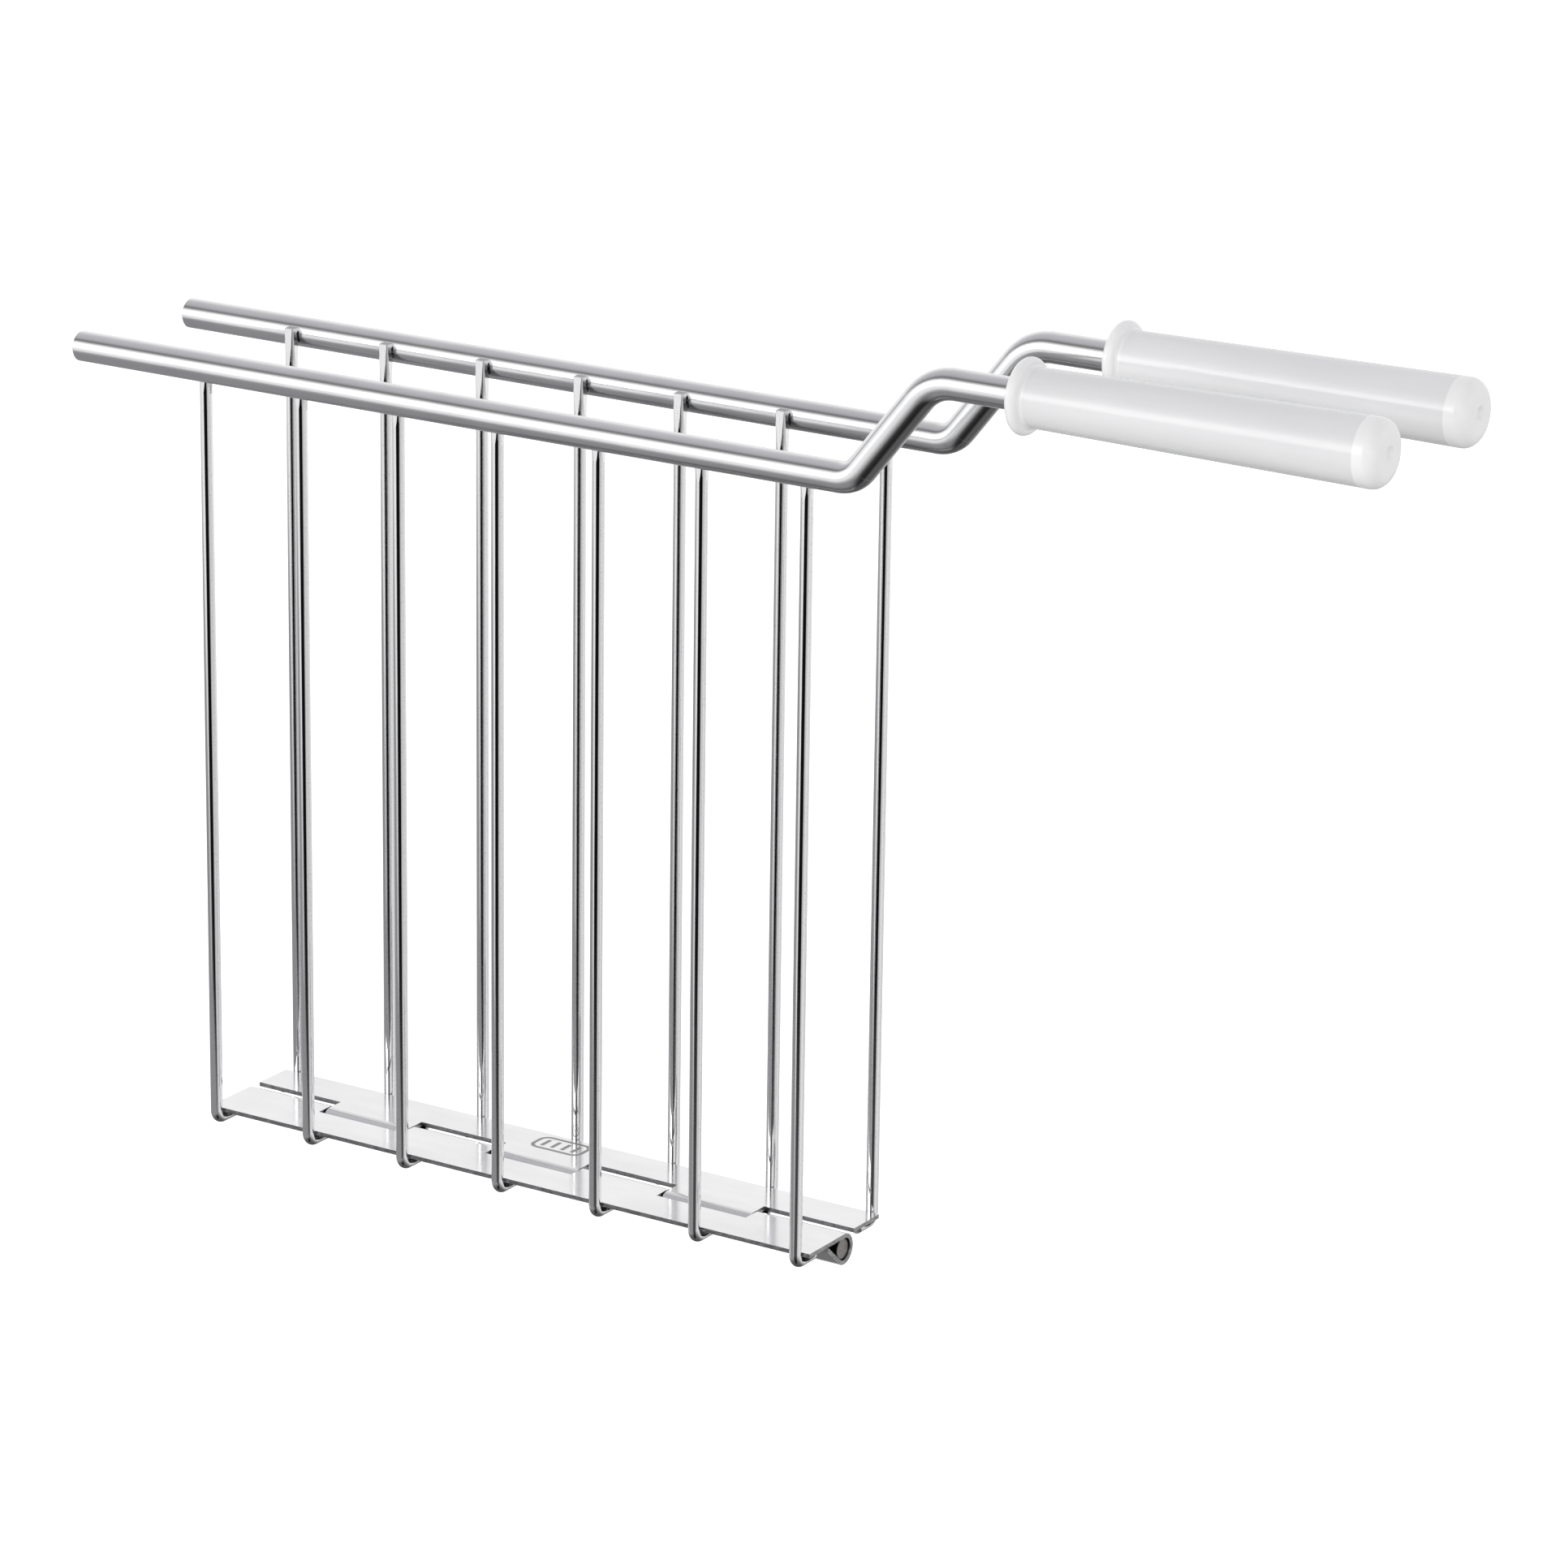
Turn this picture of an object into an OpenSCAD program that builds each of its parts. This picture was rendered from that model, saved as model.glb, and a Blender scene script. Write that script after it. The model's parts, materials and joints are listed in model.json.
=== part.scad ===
// Hinged toast and sandwich cage for a pop-up toaster.
//
// Two matching jaws of bright wire hang from two rails and swing on a pin at the bottom.
// +X runs along the rails towards the grips, +Y from the front jaw to the back jaw, +Z is up.
// The origin is midway between the rails and midway along the wires, level with the undersides
// of the rails, which is where the cage hangs on the top of a toaster.

/* [Rails] */
// Diameter of each rail rod
rail_d = 5.5; // [4.8:0.1:6.5]
// Length of rail past the axis of the first wire, which rests on the toaster
rail_overhang = 26; // [15:1:40]
// Straight rail between the axis of the last wire and the start of the lower bend
rail_lead = 8.5; // [6:0.5:20]
// How far the grips sit above the rails
handle_rise = 19; // [14:1:30]
// Slope of the rising part of each rail, in degrees
rise_slope = 51.5; // [40:0.5:65]
// Centreline radius of the lower bend
low_bend_r = 5.5; // [4:0.5:8]
// Centreline radius of the upper bend
top_bend_r = 8.5; // [4:0.5:10]
// Bare straight rail between the upper bend and the grip
rail_neck = 12.7; // [6:0.1:30]
// Chamfer on the cut ends of the rails
rail_chamfer = 0.5; // [0.2:0.1:1]

/* [Wires] */
// Wires in each jaw
wire_count = 7; // [5:1:9]
// Distance between neighbouring wires, centre to centre
wire_pitch = 21.2; // [16:0.2:26]
// Diameter of each wire
wire_d = 2.25; // [1.8:0.05:2.6]
// Clear gap for the bread between the two rows of wires
bread_gap = 23.3; // [21:0.1:32]
// Height from the top of the hinge leaves up to the undersides of the rails
cage_depth = 139.8; // [110:0.2:160]
// Centreline radius of the bend at the foot of each wire
wire_bend_r = 1.6; // [1.4:0.1:2.4]
// How far each wire's foot stops short of the hinge's centre plane
foot_stop = 7.5; // [6.8:0.1:8.5]
// Length of the end that is pressed square and welded to the rail
wire_flat_len = 7; // [4:0.5:12]
// Width across the flats at the very top of the pressed end
wire_flat_w = 2; // [1.6:0.05:2.2]
// Height of the wire's cut top above the rail's axis
wire_over = 1.3; // [0.5:0.1:2]
// How deep the weld sinks each wire into its rail
rail_weld = 0.6; // [0.2:0.1:0.9]
// How deep the weld sinks each wire into its hinge leaf
leaf_weld = 0.15; // [0.05:0.05:0.3]

/* [Hinge] */
// Thickness of the hinge leaves
leaf_t = 0.8; // [0.6:0.1:1]
// Length of leaf past the axis of each end wire
leaf_side = 2.2; // [1.5:0.1:6]
// Gap between the outer edge of each leaf and the upright wires
leaf_edge_gap = 0.05; // [0.02:0.01:0.2]
// Knuckles in the whole hinge, an odd number so that the front leaf has both ends
knuckle_count = 7; // [5:2:9]
// End play between neighbouring knuckles
knuckle_gap = 0.25; // [0.15:0.05:0.6]
// Diameter of the hinge pin
pin_d = 4; // [3.4:0.1:4.2]
// Radial clearance between the pin and the knuckles that turn on it
pin_play = 0.08; // [0.03:0.01:0.1]
// How far each end of the pin sits inside the last knuckle
pin_recess = 0.4; // [0:0.1:1]
// Gap between a knuckle and the edge of the other leaf
leaf_relief = 0.35; // [0.3:0.05:0.8]
// Slope of the tail that closes each rolled knuckle, in degrees
tail_slope = 42; // [38:1:50]
// Gap between the end of that tail and the underside of the leaf
tail_gap = 0.2; // [0.1:0.05:0.5]

/* [Grips] */
// Length of each grip
grip_len = 67.2; // [62:0.1:100]
// Diameter of the grip beside its flange
grip_root_d = 10.2; // [9:0.1:12]
// Diameter of the grip near its closed end
grip_tip_d = 11.8; // [9:0.1:13]
// Diameter of the flange
flange_d = 13.1; // [12.5:0.1:16]
// Thickness of the flange
flange_t = 2.2; // [1.8:0.1:4]
// Radius that rounds the closed end
grip_round = 2.5; // [1:0.1:3]
// Depth of the socket that holds the rail
socket_depth = 60; // [40:1:60]
// Diameter of the moulded dimple in the closed end
dimple_d = 3; // [2:0.1:4]
// Depth of that dimple
dimple_depth = 0.7; // [0.3:0.1:1]

/* [Hidden] */
$fn = 96;

wire_names = [for (i = [1:wire_count]) str("wire_", i)];

// Places across the cage, measured from its centre plane.
wire_y = (bread_gap + wire_d) / 2;
rail_y = wire_y + wire_d / 2 + rail_d / 2 - rail_weld;
leaf_edge = bread_gap / 2 - leaf_edge_gap;

// Places along the cage.
wire_span = (wire_count - 1) * wire_pitch;
leaf_len = wire_span + 2 * leaf_side;
knuckle_pitch = leaf_len / knuckle_count;
rail_start = -wire_span / 2 - rail_overhang;
bend_start = wire_span / 2 + rail_lead;

// Rise of the rail: two arcs with one straight slope between them.
arc_rise = (low_bend_r + top_bend_r) * (1 - cos(rise_slope));
slope_len = (handle_rise - arc_rise) / sin(rise_slope);
slope_foot = [bend_start + low_bend_r * sin(rise_slope), low_bend_r * (1 - cos(rise_slope))];
slope_top = slope_foot + slope_len * [cos(rise_slope), sin(rise_slope)];
bend_end = slope_top.x + top_bend_r * sin(rise_slope);
grip_start = bend_end + rail_neck;

// Heights.
rail_z = rail_d / 2;
leaf_top = -cage_depth;
bore_r = pin_d / 2 + pin_play;
curl_r = bore_r + leaf_t;
pin_z = leaf_top - curl_r;
foot_z = leaf_top - leaf_t - wire_d / 2 + leaf_weld;

// The middle knuckles of the front leaf are squeezed on to the pin by this much.
pin_grip = 0.01;
grip_bore_r = pin_d / 2 - pin_grip;
// The socket of the soft grip is this much smaller than the rail, in radius.
socket_squeeze = 0.05;
socket_r = rail_d / 2 - socket_squeeze;
// The rail stops this far short of the bottom of the socket.
socket_end_gap = 0.5;
// Pieces of one node join by reaching this far into each other, with this small step between
// their surfaces so that no two faces coincide.
joint_lap = 0.2;
joint_step = 0.01;
// Diameter of a pressed wire end across its rounded corners, at the top.
wire_corner_d = wire_d * 1.16;
// How far the lower end of each pressed flat sits inside the round of the wire.
flat_step = 0.02;
// Steps in the arc of each rounded edge of a grip's outline.
round_steps = 8;

STEEL = "silver";
BRIGHT = "gainsboro";
PIN_GREY = "dimgray";
GRIP_WHITE = "whitesmoke";

// Points of an arc in a grip's outline, from one angle to another.
function arc(centre, r, from, to) = [
    for (i = [0:round_steps])
        let (a = from + (to - from) * i / round_steps)
        centre + r * [cos(a), sin(a)]
];

// A bend of the rail in the XZ plane, from one angle, about its own centre.
module rail_bend(r, from) {
    rotate([90, 0, 0])
        rotate([0, 0, from])
            rotate_extrude(angle = rise_slope)
                translate([r, 0])
                    circle(r = rail_d / 2 + joint_step);
}

// One rail: straight over the wires, up the slope, and straight again into the grip.
module rail_rod() {
    rotate([0, 90, 0]) {
        translate([0, 0, rail_start + rail_chamfer])
            cylinder(d = rail_d, h = bend_start - rail_start - rail_chamfer + joint_lap);
        translate([0, 0, rail_start])
            cylinder(d1 = rail_d - 2 * rail_chamfer, d2 = rail_d, h = rail_chamfer);
    }
    translate([bend_start, 0, low_bend_r])
        rail_bend(low_bend_r, -90);
    translate([slope_foot.x, 0, slope_foot.y])
        rotate([0, 90 - rise_slope, 0])
            translate([0, 0, -joint_lap])
                cylinder(d = rail_d, h = slope_len + 2 * joint_lap);
    translate([bend_end, 0, handle_rise - top_bend_r])
        rail_bend(top_bend_r, 90);
    translate([bend_end - joint_lap, 0, handle_rise])
        rotate([0, 90, 0])
            cylinder(d = rail_d, h = joint_lap + rail_neck + socket_depth - socket_end_gap);
}

// The pressed end of a wire, from round at its foot to nearly square at its top.
module pressed_end() {
    flat_foot = wire_d / 2 - flat_step;
    flat_tilt = atan((flat_foot - wire_flat_w / 2) / wire_flat_len);
    difference() {
        cylinder(d1 = wire_d, d2 = wire_corner_d, h = wire_flat_len);
        for (a = [0:90:270])
            rotate([0, 0, a])
                translate([flat_foot, -wire_d, 0])
                    rotate([0, -flat_tilt, 0])
                        translate([0, 0, -wire_flat_len])
                            cube([wire_d, 2 * wire_d, 3 * wire_flat_len]);
    }
}

// One wire of the front jaw: pressed end, straight shank, tight bend, and a foot under the leaf.
module wire_rod() {
    shank_foot = foot_z + wire_bend_r;
    wire_top = rail_z + wire_over;
    translate([0, 0, shank_foot])
        cylinder(d = wire_d, h = wire_top - wire_flat_len - shank_foot);
    translate([0, 0, wire_top - wire_flat_len])
        pressed_end();
    translate([0, wire_bend_r, shank_foot])
        rotate([90, 0, 90])
            rotate([0, 0, 180])
                rotate_extrude(angle = 90)
                    translate([wire_bend_r, 0])
                        circle(d = wire_d);
    translate([0, wire_bend_r, foot_z])
        rotate([-90, 0, 0])
            cylinder(d = wire_d, h = wire_y - foot_stop - wire_bend_r);
}

// Section of a rolled knuckle of the front leaf about the pin: flat, curl and tail.
module knuckle_section(hole_r) {
    tail_len = (curl_r - leaf_t - tail_gap + bore_r * cos(tail_slope)) / sin(tail_slope);
    cut = 2 * curl_r;
    translate([-curl_r - leaf_relief, bore_r])
        square([curl_r + leaf_relief, leaf_t]);
    difference() {
        circle(r = curl_r);
        circle(r = hole_r);
        polygon([
            [0, 0],
            [0, cut],
            [-cut, cut],
            cut * [-sin(tail_slope), -cos(tail_slope)]
        ]);
    }
    rotate(180 - tail_slope)
        translate([-joint_lap, bore_r + joint_step])
            square([tail_len + joint_lap, leaf_t - 2 * joint_step]);
}

// One leaf as the front jaw has it, with knuckles in every other place from the given one.
module leaf(first, gripped) {
    notch = curl_r + leaf_relief;
    translate([-leaf_len / 2, -leaf_edge, leaf_top - leaf_t])
        cube([leaf_len, leaf_edge - notch, leaf_t]);
    for (k = [first:2:knuckle_count - 1]) {
        low_gap = k == 0 ? 0 : knuckle_gap / 2;
        high_gap = k == knuckle_count - 1 ? 0 : knuckle_gap / 2;
        inner = k > 0 && k < knuckle_count - 1;
        translate([-leaf_len / 2 + k * knuckle_pitch + low_gap, 0, pin_z])
            rotate([90, 0, 90])
                linear_extrude(knuckle_pitch - low_gap - high_gap)
                    knuckle_section(gripped && inner ? grip_bore_r : bore_r);
    }
}

// One grip along +X from its flange: tapered sleeve, blind socket, rounded end with a dimple.
module grip() {
    flange_r = flange_d / 2;
    rim = flange_t / 2;
    root_r = grip_root_d / 2;
    tip_r = grip_tip_d / 2;
    outline = concat(
        [[0, socket_r]],
        arc([rim, flange_r - rim], rim, 180, 0),
        [[flange_t, root_r + rim / 3], [flange_t + rim / 3, root_r]],
        arc([grip_len - grip_round, tip_r - grip_round], grip_round, 90, 0),
        [[grip_len, dimple_d / 2], [grip_len - dimple_depth, dimple_d / 4]],
        [[grip_len - dimple_depth, 0], [socket_depth, 0], [socket_depth, socket_r]]
    );
    rotate([0, 90, 0])
        rotate_extrude()
            polygon([for (p = outline) [p.y, p.x]]);
}

module front_rail() {
    color(STEEL)
        translate([0, -rail_y, rail_z])
            rail_rod();
}

module back_rail() {
    color(STEEL)
        translate([0, rail_y, rail_z])
            rail_rod();
}

module front_wire(i) {
    color(BRIGHT)
        translate([(i - 1) * wire_pitch - wire_span / 2, -wire_y, 0])
            wire_rod();
}

module back_wire(i) {
    color(BRIGHT)
        mirror([0, 1, 0])
            translate([(i - 1) * wire_pitch - wire_span / 2, -wire_y, 0])
                wire_rod();
}

module front_leaf() {
    color(BRIGHT)
        leaf(0, true);
}

module back_leaf() {
    color(BRIGHT)
        mirror([0, 1, 0])
            leaf(1, false);
}

module hinge_pin() {
    color(PIN_GREY)
        translate([pin_recess - leaf_len / 2, 0, pin_z])
            rotate([0, 90, 0])
                cylinder(d = pin_d, h = leaf_len - 2 * pin_recess);
}

module front_grip() {
    color(GRIP_WHITE)
        translate([grip_start, -rail_y, rail_z + handle_rise])
            grip();
}

module back_grip() {
    color(GRIP_WHITE)
        translate([grip_start, rail_y, rail_z + handle_rise])
            grip();
}

front_rail();
front_leaf();
hinge_pin();
front_grip();
back_rail();
back_leaf();
back_grip();
for (i = [1:wire_count]) {
    front_wire(i);
    back_wire(i);
}
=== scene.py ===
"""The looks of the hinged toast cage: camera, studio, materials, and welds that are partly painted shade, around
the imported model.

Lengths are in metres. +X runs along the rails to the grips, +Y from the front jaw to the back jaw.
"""
import json
import math

import bmesh
import bpy
import mathutils.noise
from mathutils import Matrix, Vector


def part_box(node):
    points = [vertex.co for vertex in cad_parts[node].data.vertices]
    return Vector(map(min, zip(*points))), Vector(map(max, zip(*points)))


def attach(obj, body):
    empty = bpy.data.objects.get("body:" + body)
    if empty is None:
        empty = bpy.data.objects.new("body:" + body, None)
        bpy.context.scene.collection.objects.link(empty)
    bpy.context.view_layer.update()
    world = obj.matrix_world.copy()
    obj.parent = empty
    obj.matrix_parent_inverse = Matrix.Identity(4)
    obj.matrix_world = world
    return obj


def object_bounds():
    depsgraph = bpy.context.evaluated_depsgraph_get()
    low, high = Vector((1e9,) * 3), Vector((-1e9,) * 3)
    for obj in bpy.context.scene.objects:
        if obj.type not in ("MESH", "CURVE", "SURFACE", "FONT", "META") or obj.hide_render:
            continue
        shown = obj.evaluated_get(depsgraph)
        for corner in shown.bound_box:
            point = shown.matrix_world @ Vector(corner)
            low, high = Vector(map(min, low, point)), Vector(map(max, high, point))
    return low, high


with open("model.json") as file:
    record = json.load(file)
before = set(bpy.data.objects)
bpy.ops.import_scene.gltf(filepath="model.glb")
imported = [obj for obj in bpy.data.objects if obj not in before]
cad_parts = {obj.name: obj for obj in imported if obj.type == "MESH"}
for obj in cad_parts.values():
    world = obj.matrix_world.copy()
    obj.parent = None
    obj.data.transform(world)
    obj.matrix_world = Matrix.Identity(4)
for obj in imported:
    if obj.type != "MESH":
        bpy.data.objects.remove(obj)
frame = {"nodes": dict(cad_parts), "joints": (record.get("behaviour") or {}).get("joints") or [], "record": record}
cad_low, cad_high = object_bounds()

MM = 0.001
WIRES = sorted(n for n in frame["nodes"] if "_wire_" in n)

# Camera: its bearing, height above the horizon and roll in degrees, its distance, the point it
# looks at, its lens and sensor width in millimetres, and the nearest and farthest it sees.
VIEW_AZIMUTH = 32.16
VIEW_ELEVATION = 17.516
VIEW_ROLL = 0.831
VIEW_DISTANCE = 1.08
VIEW_AIM = Vector((0.0434, 0.01335, -0.06388))
LENS = 140.37
SENSOR = 36.0
CLIP_NEAR = 0.01
CLIP_FAR = 100.0

# The floor: its size, how far it lies below the lowest point that an open jaw can reach, and the
# strength of its own light.
FLOOR_SIZE = 30.0
FLOOR_GAP = 0.04
FLOOR_GLOW = 0.60

# Lamps: place, the point they face, width and power.
LAMP_AIM = (0.1, 0.0, 0.0)
LAMPS = {
    "key": ((0.8, -1.3, 0.9), LAMP_AIM, 1.2, 5.2),
    "bounce": ((0.5, -0.7, -0.8), LAMP_AIM, 1.2, 6.2),
}

# Grip: lengths at the flange and at the closed end where the plastic is solid, how softly the two
# tones meet there, and the half width of the seam before the closed end, sharp and soft.
GRIP_FLANGE = 2.6 * MM
GRIP_CAP = 3.7 * MM
GRIP_FLANGE_BLEND = 0.5 * MM
GRIP_CAP_BLEND = 0.4 * MM
SEAM_SHARP = 0.10 * MM
SEAM_SOFT = 0.35 * MM

# Weld beads at a rail: radii, distance from the rail's inner side, and depth below a wire's top.
RAIL_BEAD = Vector((0.55, 0.42, 1.15)) * MM
RAIL_BEAD_OUT = 0.22 * MM
RAIL_BEAD_DROP = 1.6 * MM

# Weld beads at a leaf, which are also painted shade where a wire's foot passes under the leaf's edge:
# radii, distance in from the leaf's edge, and depth below its top.
LEAF_BEAD = Vector((0.75, 2.3, 0.60)) * MM
LEAF_BEAD_IN = 1.6 * MM
LEAF_BEAD_DROP = 1.25 * MM

# How far out on a wire's half width the beads sit, how high their lumps are, how close together,
# and the step through the noise from one bead to the next.
RAIL_BEAD_SIDE = 0.80
LEAF_BEAD_SIDE = 0.86
BEAD_LUMPS = 0.16
BEAD_WANDER = 1.7
BEAD_STEP = Vector((3.1, 1.7, 0.0))

# Where a leaf's sheared edge gives way to polished sheet, by how level its surface is, 0 to 1, and
# where the pin's cut face is painted black as the shade in the gap round it, in shares of its radius.
LEAF_EDGE_LEVEL = (0.05, 0.35)
PIN_GAP_SHADE = (0.86, 0.93)

# The etched mark: its distance from the leaf's edge, half sizes, corner radius, line width and bar
# spacing, and how far below the leaf's top it ends. It is in the middle of the leaf's length.
MARK_INSET = 4.2 * MM
MARK_HALF = Vector((5.2, 2.6)) * MM
MARK_ROUND = 1.6 * MM
MARK_LINE = 0.75 * MM
MARK_BAR = 2.2 * MM
MARK_DEPTH = 0.1 * MM
# How softly it ends: its outline in shares of the line width from the line's middle, its bars in
# shares of their spacing, and the bars' ends in shares of the corner radius.
MARK_LINE_FADE = (0.4, 0.6)
MARK_BAR_FADE = (0.17, 0.20)
MARK_END_FADE = (0.30, 0.36)

# The studio's tones, each at an angle in degrees.
# CEILING goes from the front horizon over the top to the back horizon.
CEILING = ((0, 1.0), (38, 1.0), (46, 0.42), (52, 0.16), (60, 0.16), (67, 0.42),
           (78, (0.53, 0.525, 0.55)), (112, (0.62, 0.615, 0.64)), (130, 0.78), (146, 1.0),
           (180, 1.0))
# GROUND goes from straight down to the horizon.
GROUND = ((-90, 0.12), (-57, 0.14), (-49, 0.18), (-41, 0.28), (-35, 0.40), (-30, 0.56),
          (-25, 0.76), (-20, 0.98), (0, 1.0))
# SIDES goes round below the horizon, from behind the cage past the camera at 0, and multiplies
# GROUND. It starts at the first of SIDES_FROM and is in full force at the second.
SIDES = ((-180, 0.68), (-115, 0.76), (-64, 0.98), (-30, 0.85), (0, 0.30), (8, 0.34), (25, 0.52),
         (62, 0.90), (110, 0.72), (180, 0.62))
SIDES_FROM = (-3.0, -11.0)
# How many degrees lower the ground's tones lie straight behind the cage.
GROUND_TILT = 11.0

# The bright strip of the front soft box, in degrees: its rise and half height, its bearing from the
# camera and half width, and how soft these edges are. Then its extra power.
STRIP_RISE = 14.0
STRIP_HALF = 12.0
STRIP_RISE_SOFT = 6.0
STRIP_TURN = -65.0
STRIP_WIDE = 22.0
STRIP_TURN_SOFT = 7.0
STRIP_POWER = 2.6

# The dark flag by the lens, in degrees: its bearing from the camera, its half width, how soft its
# sides are, and the angles between which its top fades out. FLAG_BLOCK is the light it takes away.
FLAG_TURN = -13.0
FLAG_HALF = 30.0
FLAG_SOFT = 6.0
FLAG_TOP = (22.0, 32.0)
FLAG_BLOCK = 0.99
# Below the lower part's angles it turns and lets some light through.
FLAG_LOWER = (-22.0, -19.0)
FLAG_LOWER_TURN = 12.0
FLAG_LOWER_FADE = 0.22
# Above the upper part's angles it turns the other way and is narrower.
FLAG_UPPER = (0.0, 9.0)
FLAG_UPPER_TURN = -10.0
FLAG_UPPER_TRIM = 14.0

# The table's grey patch, which only reflections see: its depth below the cage, middle, and the
# distances from its middle between which it fades out. It fades in between the two distances of
# SHADE_CLEAR from the origin.
SHADE_DROP = 0.06
SHADE_MIDDLE = Vector((-0.38, -0.02, 0.0))
SHADE_FADE = (0.20, 0.52)
SHADE_CLEAR = (0.15, 0.27)
SHADE_TONE = (0.29, 0.29, 0.30, 1.0)
SHADE_CORNERS = 96
# Its nearer part, which fades in between two distances from the row of wires.
NEAR_MIDDLE = Vector((-0.12, -0.10, 0.0))
NEAR_FADE = (0.15, 0.22)
NEAR_CLEAR = (0.04, 0.11)


# ---------------------------------------------------------------- node helpers

def new_material(name):
    """A new material, its node tree and its Principled shader."""
    mat = bpy.data.materials.new(name)
    mat.use_nodes = True
    tree = mat.node_tree
    shader = next(n for n in tree.nodes if n.type == "BSDF_PRINCIPLED")
    return mat, tree, shader


def add(tree, kind, inputs=None, **settings):
    """A node of a kind, with its settings and its inputs, which are values or other sockets."""
    node = tree.nodes.new(kind)
    for key, value in settings.items():
        setattr(node, key, value)
    for key, value in (inputs or {}).items():
        if isinstance(value, bpy.types.NodeSocket):
            tree.links.new(value, node.inputs[key])
        else:
            node.inputs[key].default_value = value
    return node


def math_node(tree, operation, a, b=0.0, c=0.0, clamp=False):
    """The result of one Math node."""
    return add(tree, "ShaderNodeMath", {0: a, 1: b, 2: c},
               operation=operation, use_clamp=clamp).outputs[0]


def smooth(tree, value, low, high, out_low=0.0, out_high=1.0):
    """A smooth step of a value between two limits."""
    return add(tree, "ShaderNodeMapRange",
               {0: value, 1: low, 2: high, 3: out_low, 4: out_high},
               interpolation_type="SMOOTHSTEP").outputs[0]


def fall(tree, value, low, high):
    """A smooth step down from 1 to 0 between two limits."""
    return smooth(tree, value, low, high, 1.0, 0.0)


def away(tree, value, middle):
    """How far a value is from a middle, either way."""
    return math_node(tree, "ABSOLUTE", math_node(tree, "SUBTRACT", value, middle))


def beyond(tree, value, limit):
    """How far a value is past a limit, or 0."""
    return math_node(tree, "MAXIMUM", math_node(tree, "SUBTRACT", value, limit), 0.0)


def hypotenuse(tree, a, b):
    """The length of two sides' diagonal."""
    square = math_node(tree, "MULTIPLY", b, b)
    return math_node(tree, "SQRT", math_node(tree, "MULTIPLY_ADD", a, a, square))


def distance(tree, point, place):
    """A point's distance from a place."""
    return add(tree, "ShaderNodeVectorMath", {0: point, 1: place},
               operation="DISTANCE").outputs["Value"]


def blend(tree, share, first, second, **settings):
    """A mix of two colours by the second one's share."""
    return add(tree, "ShaderNodeMix", {0: share, 6: first, 7: second},
               data_type="RGBA", **settings).outputs[2]


def relief(tree, shader, height, strength, depth):
    """A bump from a height, on a shader."""
    bump = add(tree, "ShaderNodeBump", {"Height": height, "Strength": strength, "Distance": depth})
    tree.links.new(bump.outputs[0], shader.inputs["Normal"])


def ramp(tree, value, stops):
    """A colour ramp of grey or RGB stops, each a place and a colour."""
    node = add(tree, "ShaderNodeValToRGB", {0: value})
    band = node.color_ramp
    while len(band.elements) < len(stops):
        band.elements.new(0.5)
    for element, (place, colour) in zip(band.elements, stops):
        element.position = place
        grey = (colour,) * 3 if isinstance(colour, (int, float)) else colour
        element.color = (*grey, 1.0)
    return node.outputs[0]


def object_point(tree, scale=(1.0, 1.0, 1.0)):
    """The object's own coordinates, stretched."""
    point = add(tree, "ShaderNodeTexCoord").outputs["Object"]
    return add(tree, "ShaderNodeMapping", {"Vector": point, "Scale": scale}).outputs[0]


def noise(tree, point, scale, detail=3.0, roughness=0.5):
    """A noise texture's value."""
    return add(tree, "ShaderNodeTexNoise",
               {"Vector": point, "Scale": scale, "Detail": detail, "Roughness": roughness}
               ).outputs[0]


def turn_share(tree, angle):
    """An angle from minus to plus half a turn, as a share of a full turn."""
    return add(tree, "ShaderNodeMapRange", {0: angle, 1: -math.pi, 2: math.pi}).outputs[0]


def turn_place(degrees):
    """The place of an angle on a ramp that spans a full turn."""
    return 0.5 + degrees / 360.0


# ---------------------------------------------------------------- materials

def rail_material():
    """Satin stainless rod: fine draw lines along its length and faint smudges."""
    mat, tree, shader = new_material("rail_steel")
    lines = noise(tree, object_point(tree, (60.0, 4000.0, 4000.0)), 1.0, 4.0)
    smudge = noise(tree, object_point(tree), 90.0, 4.0)
    tone = ramp(tree, smudge, [(0.3, (0.76, 0.76, 0.775)), (0.7, (0.83, 0.83, 0.84))])
    tree.links.new(tone, shader.inputs["Base Color"])
    rough = math_node(tree, "MULTIPLY_ADD", lines, 0.08, 0.17)
    tree.links.new(rough, shader.inputs["Roughness"])
    shader.inputs["Metallic"].default_value = 1.0
    relief(tree, shader, lines, 0.04, 0.05 * MM)
    return mat


def wire_material():
    """Bright wire: polished, with slight draw waves and small pits."""
    mat, tree, shader = new_material("wire_steel")
    wave = noise(tree, object_point(tree, (700.0, 700.0, 90.0)), 1.0, 3.0)
    pits = noise(tree, object_point(tree, (5200.0, 5200.0, 2600.0)), 1.0, 2.0)
    tone = ramp(tree, pits, [(0.25, (0.62, 0.62, 0.64)), (0.42, (0.84, 0.84, 0.85))])
    tree.links.new(tone, shader.inputs["Base Color"])
    rough = math_node(tree, "MULTIPLY_ADD", wave, 0.05, 0.03)
    tree.links.new(rough, shader.inputs["Roughness"])
    shader.inputs["Metallic"].default_value = 1.0
    relief(tree, shader, math_node(tree, "MULTIPLY_ADD", pits, 0.15, wave), 0.12, 0.1 * MM)
    return mat


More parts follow.
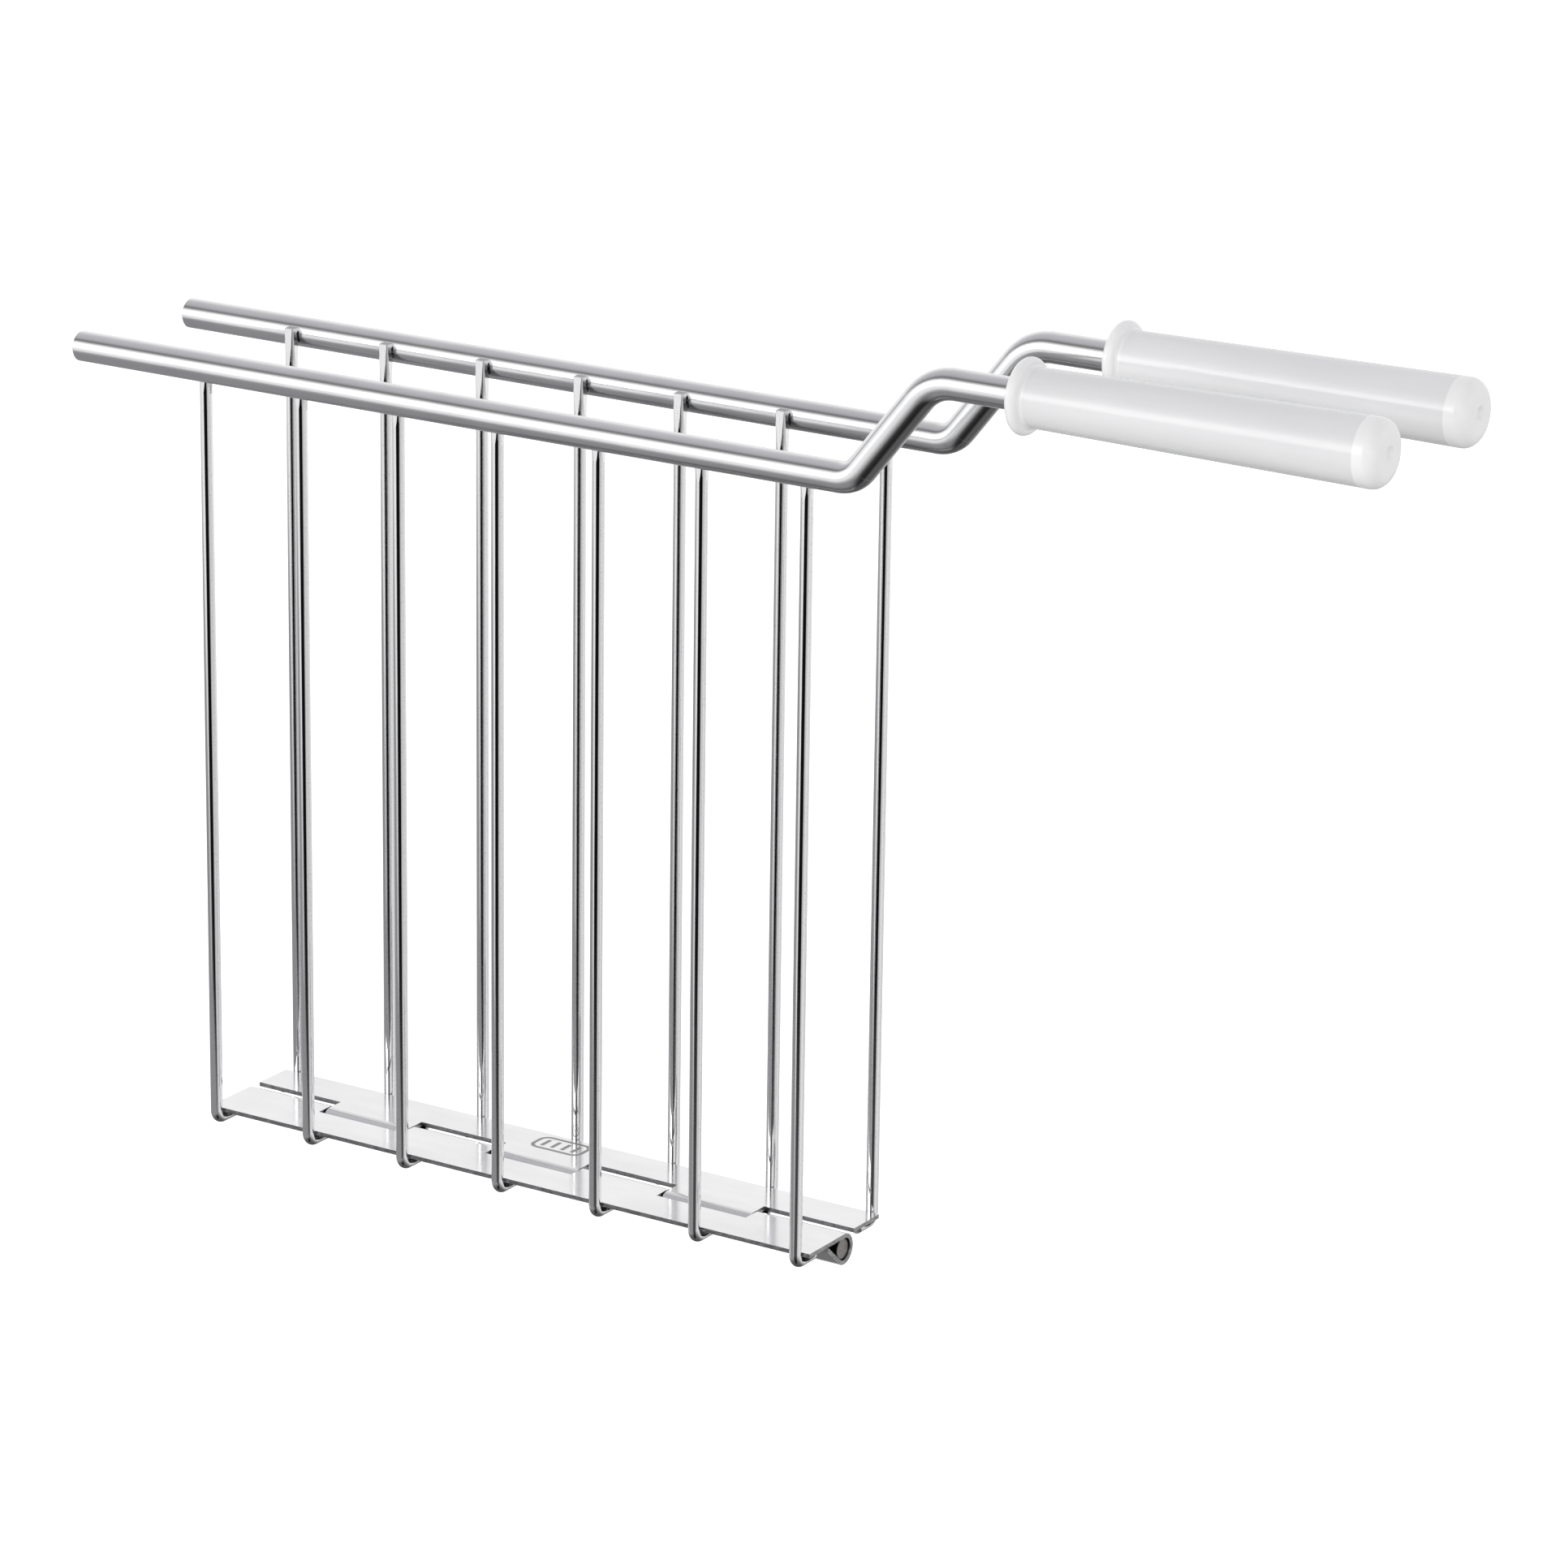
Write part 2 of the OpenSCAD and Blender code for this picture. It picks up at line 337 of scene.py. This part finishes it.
def mark_mask(tree):
    """A plain etched outline of a slice of bread with bars in it, on top of the back leaf."""
    low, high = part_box("back_leaf")
    point = add(tree, "ShaderNodeTexCoord").outputs["Object"]
    x, y, z = add(tree, "ShaderNodeSeparateXYZ", {0: point}).outputs
    across = math_node(tree, "ABSOLUTE", x)
    along = away(tree, y, high.y - MARK_INSET)
    reach = hypotenuse(tree, beyond(tree, across, MARK_HALF.x - MARK_ROUND),
                       beyond(tree, along, MARK_HALF.y - MARK_ROUND))
    off = away(tree, reach, MARK_ROUND)
    ring = fall(tree, off, *(MARK_LINE * share for share in MARK_LINE_FADE))
    bars = math_node(tree, "FRACT", math_node(tree, "DIVIDE", across, MARK_BAR))
    bars = fall(tree, away(tree, bars, 0.5), *MARK_BAR_FADE)
    core = fall(tree, reach, *(MARK_ROUND * share for share in MARK_END_FADE))
    lines = math_node(tree, "MULTIPLY", bars, core)
    both = math_node(tree, "MAXIMUM", ring, lines)
    top = math_node(tree, "GREATER_THAN", z, high.z - MARK_DEPTH)
    return math_node(tree, "MULTIPLY", both, top)


def leaf_material(name, marked):
    """Polished sheet whose sheared edges are greyer and rougher, and one leaf's etched mark."""
    mat, tree, shader = new_material(name)
    normal = add(tree, "ShaderNodeNewGeometry").outputs["Normal"]
    up = math_node(tree, "ABSOLUTE", add(tree, "ShaderNodeSeparateXYZ", {0: normal}).outputs[2])
    edge = fall(tree, up, *LEAF_EDGE_LEVEL)
    tear = noise(tree, object_point(tree, (900.0, 900.0, 3500.0)), 1.0, 4.0, 0.7)
    haze = noise(tree, object_point(tree, (60.0, 160.0, 160.0)), 1.0, 3.0)
    draw = noise(tree, object_point(tree, (2600.0, 60.0, 60.0)), 1.0, 3.0)
    bright = ramp(tree, haze, [(0.3, (0.80, 0.80, 0.808)), (0.7, (0.87, 0.87, 0.875))])
    worn = ramp(tree, tear, [(0.3, (0.15, 0.15, 0.155)), (0.7, (0.48, 0.48, 0.49))])
    tone = blend(tree, edge, bright, worn)
    rough = math_node(tree, "MULTIPLY_ADD", draw, 0.10, 0.10)
    rough = math_node(tree, "MULTIPLY_ADD", edge, 0.15, rough)
    if marked:
        mark = mark_mask(tree)
        tone = blend(tree, mark, tone, (0.37, 0.36, 0.35, 1.0))
        rough = math_node(tree, "MULTIPLY_ADD", mark, 0.35, rough)
    tree.links.new(tone, shader.inputs["Base Color"])
    tree.links.new(rough, shader.inputs["Roughness"])
    shader.inputs["Metallic"].default_value = 1.0
    depth = math_node(tree, "MULTIPLY", tear, edge)
    relief(tree, shader, math_node(tree, "MULTIPLY_ADD", haze, 0.25, depth), 0.25, 0.1 * MM)
    return mat


def weld_and_shade_material():
    """Fused weld metal and painted shade: lumpy, nearly black as weld burn and as painted shade of the crevices it
    fills, greyer on its highest lumps.
    """
    mat, tree, shader = new_material("weld_and_shade_steel")
    lumps = noise(tree, object_point(tree), 1500.0, 4.0)
    # Painted shade: the near-black tones stand for weld burn and for the shade in the crevices under the leaves'
    # edges.
    tone = ramp(tree, lumps, [(0.38, 0.012), (0.56, (0.07, 0.068, 0.066)),
                              (0.78, (0.40, 0.39, 0.38))])
    tree.links.new(tone, shader.inputs["Base Color"])
    rough = math_node(tree, "MULTIPLY_ADD", lumps, 0.25, 0.12)
    tree.links.new(rough, shader.inputs["Roughness"])
    shader.inputs["Metallic"].default_value = 1.0
    relief(tree, shader, lumps, 0.5, 0.2 * MM)
    return mat


def pin_material():
    """Plain rod with a dull cut face whose edge is painted black as the shade in the gap round the pin."""
    mat, tree, shader = new_material("pin_steel")
    low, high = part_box("hinge_pin")
    middle = (low + high) / 2
    point = add(tree, "ShaderNodeTexCoord").outputs["Object"]
    flat = add(tree, "ShaderNodeVectorMath", {0: point, 1: (0.0, 1.0, 1.0)},
               operation="MULTIPLY").outputs[0]
    reach = distance(tree, flat, (0.0, middle.y, middle.z))
    radius = (high.z - low.z) / 2
    # Painted shade: near its edge the pin is painted black as the shade in the gap round it.
    gap_shade = smooth(tree, reach, *(radius * share for share in PIN_GAP_SHADE))
    grain = noise(tree, object_point(tree, (3000.0, 3000.0, 3000.0)), 1.0, 4.0)
    tone = ramp(tree, grain, [(0.3, (0.20, 0.185, 0.18)), (0.7, (0.34, 0.325, 0.32))])
    tone = blend(tree, gap_shade, tone, (0.012, 0.012, 0.013, 1.0))
    tree.links.new(tone, shader.inputs["Base Color"])
    rough = math_node(tree, "MULTIPLY_ADD", grain, 0.2, 0.38)
    tree.links.new(rough, shader.inputs["Roughness"])
    shader.inputs["Metallic"].default_value = 0.8
    relief(tree, shader, grain, 0.3, 0.1 * MM)
    return mat


def grip_material():
    """White moulded plastic, greyer along the sleeve, where the steel shows through it."""
    mat, tree, shader = new_material("grip_plastic")
    low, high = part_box("front_grip")
    point = add(tree, "ShaderNodeTexCoord").outputs["Object"]
    x = add(tree, "ShaderNodeSeparateXYZ", {0: point}).outputs[0]
    start = low.x + GRIP_FLANGE
    end = high.x - GRIP_CAP
    sleeve = math_node(tree, "MULTIPLY", smooth(tree, x, start, start + GRIP_FLANGE_BLEND),
                       fall(tree, x, end - GRIP_CAP_BLEND, end))
    seam = fall(tree, away(tree, x, end), SEAM_SHARP, SEAM_SOFT)
    cloud = noise(tree, object_point(tree, (30.0, 160.0, 160.0)), 1.0, 3.0)
    grain = noise(tree, object_point(tree, (1800.0, 1800.0, 1800.0)), 1.0, 2.0)
    solid = ramp(tree, cloud, [(0.3, (0.94, 0.94, 0.945)), (0.7, (0.97, 0.97, 0.973))])
    thin = ramp(tree, cloud, [(0.3, (0.80, 0.80, 0.81)), (0.7, (0.85, 0.85, 0.86))])
    tone = blend(tree, sleeve, solid, thin)
    tree.links.new(tone, shader.inputs["Base Color"])
    rough = math_node(tree, "MULTIPLY_ADD", cloud, 0.06, 0.09)
    tree.links.new(rough, shader.inputs["Roughness"])
    shader.inputs["Specular IOR Level"].default_value = 0.55
    shader.inputs["Subsurface Weight"].default_value = 0.12
    shader.inputs["Subsurface Radius"].default_value = (0.002, 0.002, 0.002)
    height = math_node(tree, "MULTIPLY_ADD", cloud, 0.5, grain)
    height = math_node(tree, "MULTIPLY_ADD", seam, 1.5, height)
    relief(tree, shader, height, 0.06, 0.2 * MM)
    return mat


def dress(node, mat):
    """Gives a CAD node one material."""
    slots = frame["nodes"][node].data.materials
    slots.clear()
    slots.append(mat)


# ---------------------------------------------------------------- welds and painted shade

def add_bead(mesh, place, radii, seed):
    """One lumpy bead of weld metal, which at a leaf is also painted shade, an ellipsoid with a wandering surface.
    """
    made = bmesh.ops.create_icosphere(mesh, subdivisions=3, radius=1.0)
    for vert in made["verts"]:
        ripple = mathutils.noise.noise(vert.co * BEAD_WANDER + seed * BEAD_STEP)
        point = vert.co * (1.0 + BEAD_LUMPS * ripple)
        vert.co = place + Vector(point[i] * radii[i] for i in range(3))


def make_beads(name, body, mat, beads):
    """A piece of many beads that rides on one jaw."""
    mesh = bmesh.new()
    for seed, (place, radii) in enumerate(beads):
        add_bead(mesh, place, radii, seed)
    data = bpy.data.meshes.new(name)
    mesh.to_mesh(data)
    mesh.free()
    for face in data.polygons:
        face.use_smooth = True
    piece = bpy.data.objects.new(name, data)
    bpy.context.collection.objects.link(piece)
    data.materials.append(mat)
    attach(piece, body)


def jaw_beads(side):
    """The beads at the rail and at the leaf of one jaw: (place, radii) of each."""
    sign = -1.0 if side == "front" else 1.0
    rail_low, rail_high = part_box(side + "_rail")
    leaf_low, leaf_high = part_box(side + "_leaf")
    rail_inner = min(abs(rail_low.y), abs(rail_high.y))
    leaf_edge = max(abs(leaf_low.y), abs(leaf_high.y))
    at_rail, at_leaf = [], []
    for wire in (n for n in WIRES if n.startswith(side)):
        low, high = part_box(wire)
        middle, half = (low.x + high.x) / 2, (high.x - low.x) / 2
        for way in (-1.0, 1.0):
            place = Vector((middle + way * half * RAIL_BEAD_SIDE,
                            sign * (rail_inner + RAIL_BEAD_OUT), high.z - RAIL_BEAD_DROP))
            at_rail.append((place, RAIL_BEAD))
            # The leaf's beads are also painted shade: they cover the wire's foot with black where it passes under
            # the leaf's edge.
            place = Vector((middle + way * half * LEAF_BEAD_SIDE,
                            sign * (leaf_edge - LEAF_BEAD_IN), leaf_high.z - LEAF_BEAD_DROP))
            at_leaf.append((place, LEAF_BEAD))
    return at_rail, at_leaf


# ---------------------------------------------------------------- studio

def floor_material():
    """Pale matt sweep with the faintest mottle."""
    mat, tree, shader = new_material("floor_white")
    mottle = noise(tree, object_point(tree), 2.0, 2.0)
    tone = ramp(tree, mottle, [(0.3, 0.93), (0.7, 0.95)])
    tree.links.new(tone, shader.inputs["Base Color"])
    shader.inputs["Roughness"].default_value = 1.0
    shader.inputs["Specular IOR Level"].default_value = 0.0
    shader.inputs["Emission Color"].default_value = (1.0, 1.0, 1.0, 1.0)
    shader.inputs["Emission Strength"].default_value = FLOOR_GLOW
    return mat


def make_floor(level):
    """A wide pale floor that the polished metal doesn't mirror."""
    bpy.ops.mesh.primitive_plane_add(size=FLOOR_SIZE, location=(0, 0, level))
    floor = bpy.context.object
    floor.name = "floor"
    floor.data.materials.append(floor_material())
    floor.visible_glossy = False
    floor.visible_diffuse = False
    floor.visible_shadow = False


def ceiling_tone(tree, lift):
    """The tone above the horizon, by the angle from the front horizon over the top."""
    return ramp(tree, turn_share(tree, lift),
                [(turn_place(angle), tone) for angle, tone in CEILING])


def ground_tone(tree, drop, turn):
    """The tone below the horizon, by the angle below it and by the bearing."""
    depth = add(tree, "ShaderNodeMapRange", {0: drop, 1: -math.pi / 2, 2: 0.0}).outputs[0]
    ground = ramp(tree, depth, [(1 + angle / 90, tone) for angle, tone in GROUND])
    sides = ramp(tree, turn_share(tree, turn),
                 [(turn_place(angle), tone) for angle, tone in SIDES])
    start, full = SIDES_FROM
    low = fall(tree, drop, math.radians(full), math.radians(start))
    sides = blend(tree, low, (1, 1, 1, 1), sides)
    return blend(tree, 1.0, ground, sides, blend_type="MULTIPLY")


def flag_clear(tree, drop, turn):
    """The share of light that gets past the dark flag."""
    lower = fall(tree, drop, *(math.radians(angle) for angle in FLAG_LOWER))
    upper = smooth(tree, drop, *(math.radians(angle) for angle in FLAG_UPPER))
    middle = math_node(tree, "MULTIPLY_ADD", lower, math.radians(FLAG_LOWER_TURN),
                       math.radians(FLAG_TURN))
    middle = math_node(tree, "MULTIPLY_ADD", upper, math.radians(FLAG_UPPER_TURN), middle)
    beside = math_node(tree, "MULTIPLY_ADD", upper, math.radians(FLAG_UPPER_TRIM),
                       away(tree, turn, middle))
    flag = math_node(tree, "MULTIPLY",
                     fall(tree, beside, math.radians(FLAG_HALF - FLAG_SOFT),
                          math.radians(FLAG_HALF + FLAG_SOFT)),
                     fall(tree, drop, *(math.radians(angle) for angle in FLAG_TOP)))
    block = math_node(tree, "MULTIPLY_ADD", lower, FLAG_LOWER_FADE, -FLAG_BLOCK)
    return math_node(tree, "MULTIPLY_ADD", flag, block, 1.0)


def strip_share(tree, lift, turn):
    """Where the bright strip of the front soft box is."""
    high = fall(tree, away(tree, lift, math.radians(STRIP_RISE)),
                math.radians(STRIP_HALF - STRIP_RISE_SOFT),
                math.radians(STRIP_HALF + STRIP_RISE_SOFT))
    wide = fall(tree, away(tree, turn, math.radians(STRIP_TURN)),
                math.radians(STRIP_WIDE - STRIP_TURN_SOFT),
                math.radians(STRIP_WIDE + STRIP_TURN_SOFT))
    return math_node(tree, "MULTIPLY", high, wide)


def make_world():
    """A soft studio: a white band all round, a grey ceiling past a dark seam, a dark floor, a
    bright strip on the left and a dark flag by the lens. It is the same for every camera."""
    world = bpy.data.worlds.new("studio")
    bpy.context.scene.world = world
    world.use_nodes = True
    tree = world.node_tree
    tree.nodes.clear()
    way = add(tree, "ShaderNodeTexCoord").outputs["Generated"]
    x, y, z = add(tree, "ShaderNodeSeparateXYZ", {0: way}).outputs

    # Lift is the angle over the cage, drop the height above the horizon, turn the bearing.
    lift = math_node(tree, "ARCTAN2", z, math_node(tree, "MULTIPLY", y, -1.0))
    behind = math_node(tree, "MULTIPLY", y, math.radians(GROUND_TILT))
    drop = math_node(tree, "ADD", math_node(tree, "ARCSINE", z),
                     math_node(tree, "MAXIMUM", behind, 0.0))
    a = math.radians(VIEW_AZIMUTH)
    toward = add(tree, "ShaderNodeVectorMath", {0: way, 1: (math.sin(a), -math.cos(a), 0.0)},
                 operation="DOT_PRODUCT").outputs["Value"]
    across = add(tree, "ShaderNodeVectorMath", {0: way, 1: (math.cos(a), math.sin(a), 0.0)},
                 operation="DOT_PRODUCT").outputs["Value"]
    turn = math_node(tree, "ARCTAN2", across, toward)

    is_up = math_node(tree, "GREATER_THAN", z, 0.0)
    glow = blend(tree, is_up, ground_tone(tree, drop, turn), ceiling_tone(tree, lift))
    power = math_node(tree, "MULTIPLY_ADD", strip_share(tree, lift, turn), STRIP_POWER, 1.0)
    power = math_node(tree, "MULTIPLY", power, flag_clear(tree, drop, turn))
    light = add(tree, "ShaderNodeBackground", {"Color": glow, "Strength": power})
    out = add(tree, "ShaderNodeOutputWorld")
    tree.links.new(light.outputs[0], out.inputs[0])


def shade_share(tree):
    """How grey the table's patch is, in the coordinates of its disc."""
    row_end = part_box(WIRES[-1])[1].x
    point = add(tree, "ShaderNodeTexCoord").outputs["Object"]
    far = math_node(tree, "MULTIPLY",
                    fall(tree, distance(tree, point, (0.0, 0.0, 0.0)), *SHADE_FADE),
                    smooth(tree, distance(tree, point, -SHADE_MIDDLE), *SHADE_CLEAR))
    x, y, z = add(tree, "ShaderNodeSeparateXYZ", {0: point}).outputs
    x = math_node(tree, "ABSOLUTE", math_node(tree, "ADD", x, SHADE_MIDDLE.x))
    y = math_node(tree, "ADD", y, SHADE_MIDDLE.y)
    from_row = hypotenuse(tree, beyond(tree, x, row_end), y)
    near = math_node(tree, "MULTIPLY",
                     fall(tree, distance(tree, point, NEAR_MIDDLE - SHADE_MIDDLE), *NEAR_FADE),
                     smooth(tree, from_row, *NEAR_CLEAR))
    return math_node(tree, "MAXIMUM", far, near)


def make_table_shade(level):
    """A soft-edged grey patch left of the cage that only reflections see, as a table top gives."""
    bpy.ops.mesh.primitive_circle_add(vertices=SHADE_CORNERS, radius=SHADE_FADE[1],
                                      fill_type="NGON",
                                      location=(SHADE_MIDDLE.x, SHADE_MIDDLE.y, level))
    disc = bpy.context.object
    disc.name = "table_shade"
    mat = bpy.data.materials.new("table_shade")
    mat.use_nodes = True
    tree = mat.node_tree
    tree.nodes.clear()
    grey = add(tree, "ShaderNodeEmission", {"Color": SHADE_TONE, "Strength": 1.0})
    clear = add(tree, "ShaderNodeBsdfTransparent")
    mix = add(tree, "ShaderNodeMixShader",
              {0: shade_share(tree), 1: clear.outputs[0], 2: grey.outputs[0]})
    out = add(tree, "ShaderNodeOutputMaterial")
    tree.links.new(mix.outputs[0], out.inputs[0])
    disc.data.materials.append(mat)
    disc.visible_camera = False
    disc.visible_diffuse = False
    disc.visible_shadow = False
    disc.visible_transmission = False


def make_light(name, place, aim, size, power):
    """A soft square lamp that points at a place and that reflections don't see."""
    data = bpy.data.lights.new(name, "AREA")
    data.size = size
    data.energy = power
    lamp = bpy.data.objects.new(name, data)
    bpy.context.collection.objects.link(lamp)
    lamp.location = place
    lamp.visible_glossy = False
    lamp.rotation_euler = (Vector(aim) - Vector(place)).to_track_quat("-Z", "Y").to_euler()


def make_camera():
    """The camera, from its bearing, its height above the horizon and the point it looks at."""
    a, e = math.radians(VIEW_AZIMUTH), math.radians(VIEW_ELEVATION)
    back = Vector((math.sin(a) * math.cos(e), -math.cos(a) * math.cos(e), math.sin(e)))
    data = bpy.data.cameras.new("camera")
    data.lens = LENS
    data.sensor_width = SENSOR
    data.clip_start = CLIP_NEAR
    data.clip_end = CLIP_FAR
    camera = bpy.data.objects.new("camera", data)
    bpy.context.collection.objects.link(camera)
    turn = (-back).to_track_quat("-Z", "Y").to_matrix().to_4x4()
    roll = Matrix.Rotation(math.radians(VIEW_ROLL), 4, "Z")
    camera.matrix_world = Matrix.Translation(VIEW_AIM + back * VIEW_DISTANCE) @ turn @ roll
    bpy.context.scene.camera = camera


# ---------------------------------------------------------------- build

make_camera()
make_world()
hinge_z = next(j for j in frame["joints"] if j["name"] == "jaw_hinge")["pos_m"][2]
swing = cad_high.z - hinge_z
make_floor(hinge_z - swing - FLOOR_GAP)
make_table_shade(cad_low.z - SHADE_DROP)
for name, (place, aim, size, power) in LAMPS.items():
    make_light(name, place, aim, size, power)
view = bpy.context.scene.view_settings
view.view_transform = "Standard"
view.look = "None"

looks = {
    "rail_steel": rail_material(),
    "wire_steel": wire_material(),
    "leaf_steel": leaf_material("leaf_steel", False),
    "pin_steel": pin_material(),
    "grip_plastic": grip_material(),
}
for part in frame["record"]["subparts"]:
    dress(part["node"], looks[part["material_slot"]])
dress("back_leaf", leaf_material("leaf_steel_marked", True))

# The beads' near-black material is weld metal and partly painted shade.
weld_and_shade = weld_and_shade_material()
for side in ("front", "back"):
    at_rail, at_leaf = jaw_beads(side)
    make_beads(side + "_rail_welds", side + "_jaw", weld_and_shade, at_rail)
    make_beads(side + "_leaf_welds_and_shade", side + "_jaw", weld_and_shade, at_leaf)
